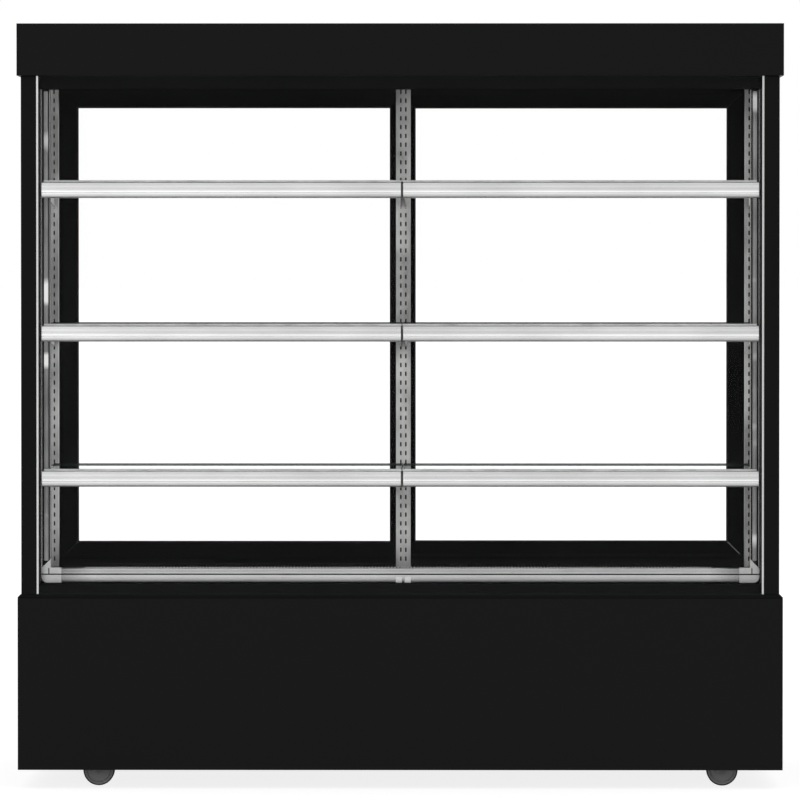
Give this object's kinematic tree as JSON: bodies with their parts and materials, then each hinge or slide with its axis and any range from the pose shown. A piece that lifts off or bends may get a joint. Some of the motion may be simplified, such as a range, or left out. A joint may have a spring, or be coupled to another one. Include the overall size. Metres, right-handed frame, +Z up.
{
  "type": "refrigerated pastry display case",
  "caption": "Square glass refrigerated display case with lit glass shelves, slotted uprights, sliding rear doors and a black machine base on castors.",
  "frame": {"origin": "on the floor, under the middle of the case", "axes": "+X to the right seen from the customer's side, +Y from the front towards the server's side, +Z up"},
  "size_m": [1.2204, 0.68, 1.219],
  "materials": {
    "black_paint": "satin black powder coat",
    "door_black": "matt black",
    "clear_glass": "clear tempered",
    "bright_aluminium": "bright anodised",
    "slotted_steel": "brushed",
    "insulation": "foamed panel with a black skin",
    "zinc_steel": "bright zinc plate",
    "wheel_tyre": "grey rubber",
    "compressor_black": "gloss black",
    "copper": "drawn copper tube",
    "black_plastic": "fine grain"
  },
  "bodies": {
    "cabinet": {"base_chassis": "black_paint", "base_front_panel": "black_paint", "base_rear_panel": "black_paint", "base_side_panel_left": "black_paint", "base_side_panel_right": "black_paint", "bottom_light_bar": "bright_aluminium", "castor_plates": "zinc_steel", "ceiling_panel": "insulation", "compressor": "compressor_black", "condenser_coil": "bright_aluminium", "condenser_fan_mount": "zinc_steel", "control_box": "black_plastic", "corner_lights": "bright_aluminium", "corner_post_left": "black_paint", "corner_post_right": "black_paint", "deck_panels": "black_paint", "evaporator_coil": "bright_aluminium", "evaporator_fan_mount": "zinc_steel", "front_glass": "clear_glass", "front_sill": "black_paint", "front_top_rail": "black_paint", "glass_trims": "bright_aluminium", "insulated_tub": "insulation", "panel_screws": "zinc_steel", "pilaster_centre": "slotted_steel", "pilasters_side": "slotted_steel", "power_inlet": "black_plastic", "rear_door_tracks": "door_black", "rear_jambs": "black_paint", "refrigerant_lines": "copper", "shelf_brackets": "slotted_steel", "shelf_glass_lower": "clear_glass", "shelf_glass_middle": "clear_glass", "shelf_glass_upper": "clear_glass", "shelf_lights_lower": "bright_aluminium", "shelf_lights_middle": "bright_aluminium", "shelf_lights_upper": "bright_aluminium", "side_glass_left": "clear_glass", "side_glass_right": "clear_glass", "top_canopy": "black_paint"},
    "inner_door": {"door_frame_left": "door_black", "door_glass_left": "clear_glass"},
    "outer_door": {"door_frame_right": "door_black", "door_glass_right": "clear_glass"},
    "condenser_fan": {"condenser_fan": "black_plastic"},
    "evaporator_fan": {"evaporator_fan": "black_plastic"},
    "condensate_pan": {"condensate_pan": "zinc_steel"},
    "up_button": {"up_button": "black_plastic"},
    "down_button": {"down_button": "black_plastic"},
    "set_button": {"set_button": "black_plastic"},
    "light_rocker": {"light_rocker": "black_plastic"},
    "power_rocker": {"power_rocker": "black_plastic"},
    "castor_front_left": {"castor_fork_front_left": "zinc_steel"},
    "wheel_front_left": {"castor_wheel_front_left": "wheel_tyre"},
    "castor_front_right": {"castor_fork_front_right": "zinc_steel"},
    "wheel_front_right": {"castor_wheel_front_right": "wheel_tyre"},
    "castor_rear_left": {"castor_fork_rear_left": "zinc_steel"},
    "wheel_rear_left": {"castor_wheel_rear_left": "wheel_tyre"},
    "castor_rear_right": {"castor_fork_rear_right": "zinc_steel"},
    "wheel_rear_right": {"castor_wheel_rear_right": "wheel_tyre"}
  },
  "joints": [
    {"name": "left_door_slide", "type": "slide", "parent": "cabinet", "child": "inner_door", "axis": [1, 0, 0], "range_m": [0, 0.568]},
    {"name": "right_door_slide", "type": "slide", "parent": "cabinet", "child": "outer_door", "axis": [-1, 0, 0], "range_m": [0, 0.568]},
    {"name": "condensate_pan_slide", "type": "slide", "parent": "cabinet", "child": "condensate_pan", "axis": [0, 1, 0], "range_m": [0, 0.2]},
    {"name": "castor_swivel_front_left", "type": "hinge", "parent": "cabinet", "child": "castor_front_left", "pos_m": [-0.4998, -0.26, 0.062], "axis": [0, 0, 1], "continuous": true},
    {"name": "wheel_spin_front_left", "type": "hinge", "parent": "castor_front_left", "child": "wheel_front_left", "pos_m": [-0.4838, -0.26, 0.025], "axis": [0, 1, 0], "continuous": true},
    {"name": "castor_swivel_front_right", "type": "hinge", "parent": "cabinet", "child": "castor_front_right", "pos_m": [0.4998, -0.26, 0.062], "axis": [0, 0, 1], "continuous": true},
    {"name": "wheel_spin_front_right", "type": "hinge", "parent": "castor_front_right", "child": "wheel_front_right", "pos_m": [0.5158, -0.26, 0.025], "axis": [0, 1, 0], "continuous": true},
    {"name": "castor_swivel_rear_left", "type": "hinge", "parent": "cabinet", "child": "castor_rear_left", "pos_m": [-0.4998, 0.26, 0.062], "axis": [0, 0, 1], "continuous": true},
    {"name": "wheel_spin_rear_left", "type": "hinge", "parent": "castor_rear_left", "child": "wheel_rear_left", "pos_m": [-0.4838, 0.26, 0.025], "axis": [0, 1, 0], "continuous": true},
    {"name": "castor_swivel_rear_right", "type": "hinge", "parent": "cabinet", "child": "castor_rear_right", "pos_m": [0.4998, 0.26, 0.062], "axis": [0, 0, 1], "continuous": true},
    {"name": "wheel_spin_rear_right", "type": "hinge", "parent": "castor_rear_right", "child": "wheel_rear_right", "pos_m": [0.5158, 0.26, 0.025], "axis": [0, 1, 0], "continuous": true},
    {"name": "condenser_fan_spin", "type": "hinge", "parent": "cabinet", "child": "condenser_fan", "pos_m": [0.3305, 0.206, 0.142], "axis": [0, 1, 0], "continuous": true},
    {"name": "evaporator_fan_spin", "type": "hinge", "parent": "cabinet", "child": "evaporator_fan", "pos_m": [0, 0.043, 0.29825], "axis": [0, 1, 0], "continuous": true},
    {"name": "set_button_press", "type": "slide", "parent": "cabinet", "child": "set_button", "axis": [0, -1, 0], "range_m": [0, 0.0015], "stiffness_N_per_m": 800, "springref_m": -0.001},
    {"name": "up_button_press", "type": "slide", "parent": "cabinet", "child": "up_button", "axis": [0, -1, 0], "range_m": [0, 0.0015], "stiffness_N_per_m": 800, "springref_m": -0.001},
    {"name": "down_button_press", "type": "slide", "parent": "cabinet", "child": "down_button", "axis": [0, -1, 0], "range_m": [0, 0.0015], "stiffness_N_per_m": 800, "springref_m": -0.001},
    {"name": "light_rocker_tilt", "type": "hinge", "parent": "cabinet", "child": "light_rocker", "pos_m": [0.4865, 0.326, 0.17], "axis": [1, 0, 0], "range_deg": [0, 12]},
    {"name": "power_rocker_tilt", "type": "hinge", "parent": "cabinet", "child": "power_rocker", "pos_m": [0.5086, 0.326, 0.17], "axis": [1, 0, 0], "range_deg": [0, 12]}
  ]
}
